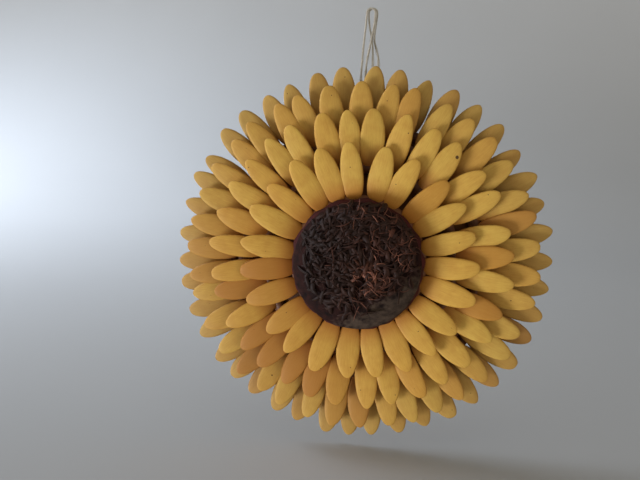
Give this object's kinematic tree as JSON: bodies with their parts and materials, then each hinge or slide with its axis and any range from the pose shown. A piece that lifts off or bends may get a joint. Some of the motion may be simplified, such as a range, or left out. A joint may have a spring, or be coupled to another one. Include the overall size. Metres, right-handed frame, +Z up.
{
  "type": "hanging sunflower ornament",
  "caption": "Wall or door ornament in the shape of a sunflower: layered wooden petals round a dome of curled shavings, on a flat round back, hung by a twine loop.",
  "frame": {"origin": "where a hook carries the twine loop, under the top of its turn", "axes": "-Y out of the flower's face, +Y out of its back, +Z up towards the hook, +X to the right as it is looked at"},
  "size_m": [0.3641, 0.0701, 0.4208],
  "materials": {
    "petals": "light wood dyed yellow, matte",
    "centre": "foam painted dark maroon, matte",
    "shavings": "dyed dark brown shavings, matte",
    "core": "rigid foam painted brown, matte",
    "board": "bare plywood, matte",
    "twine": "loosely twisted jute, undyed"
  },
  "bodies": {
    "root": {"petal_row_1": "petals", "petal_row_2": "petals", "petal_row_3": "petals", "petal_row_4": "petals", "centre_ball": "centre", "shavings": "shavings", "foam_core": "core", "backing_board": "board", "twine_loop_front": "twine", "twine_loop_back": "twine", "twine_knot": "twine"}
  },
  "joints": []
}
